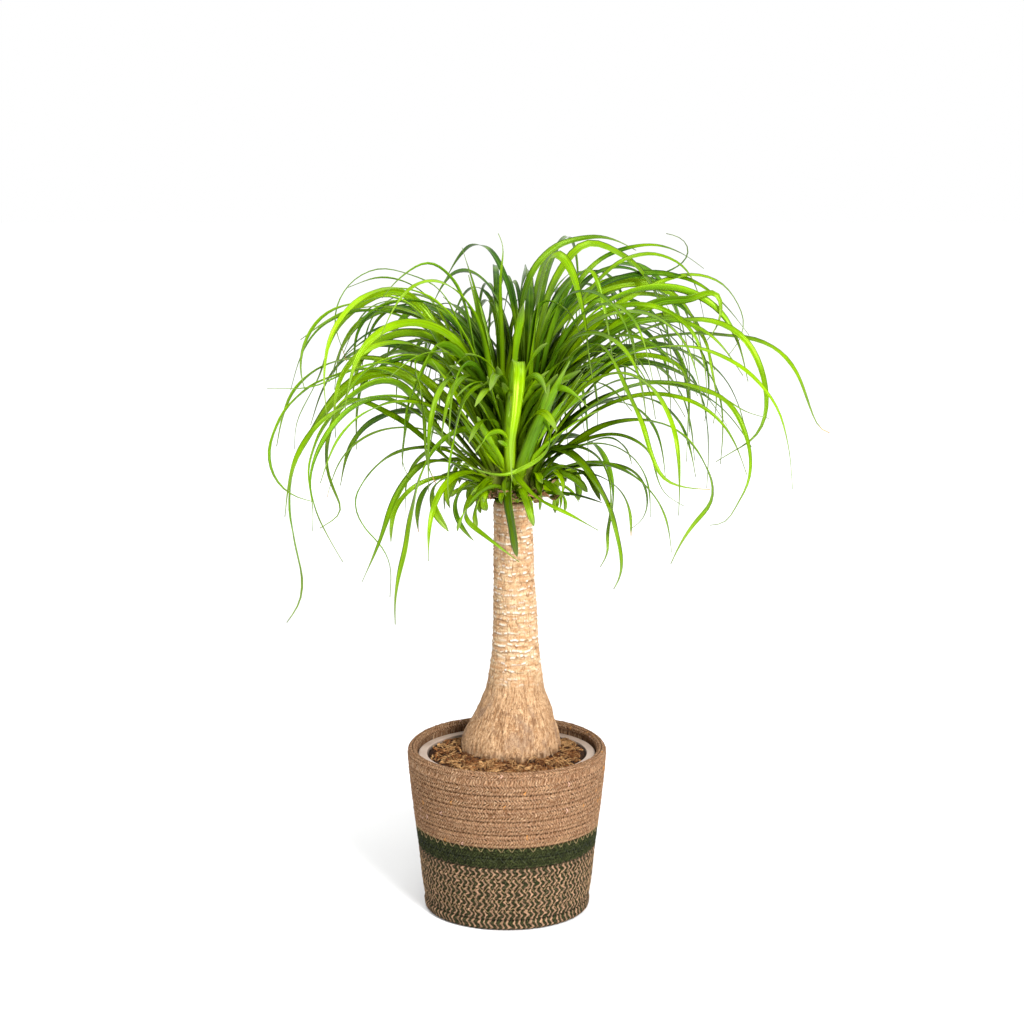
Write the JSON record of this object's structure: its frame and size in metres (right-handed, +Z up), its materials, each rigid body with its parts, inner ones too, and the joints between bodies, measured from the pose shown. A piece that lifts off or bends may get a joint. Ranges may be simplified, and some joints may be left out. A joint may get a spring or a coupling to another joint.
{
  "type": "potted ponytail palm",
  "caption": "Ponytail palm with a swollen trunk and a crown of arching strap leaves, in a plastic nursery pot inside a coiled rope basket.",
  "frame": {"origin": "centre of the basket's flat underside", "axes": "+Z up along the trunk, +X to the longer side of the crown (right in the picture), +Y to the back"},
  "size_m": [0.5357, 0.4605, 0.6578],
  "materials": {
    "tan_cord": "matte flat-braided cord",
    "green_cord": "matte flat-braided cord",
    "mixed_cord": "matte two-coloured braided cord",
    "pot_plastic": "satin moulded",
    "soil": "loose coir and bark",
    "bark": "dry corky bark",
    "leaf": "satin leaf"
  },
  "bodies": {
    "root": {"basket_mixed_coils": "mixed_cord", "basket_green_coils": "green_cord", "basket_tan_coils": "tan_cord", "nursery_pot": "pot_plastic", "potting_soil": "soil", "trunk": "bark", "head_front": "leaf", "head_right": "leaf", "head_back_right": "leaf", "head_back_left": "leaf", "head_left": "leaf"}
  },
  "joints": []
}
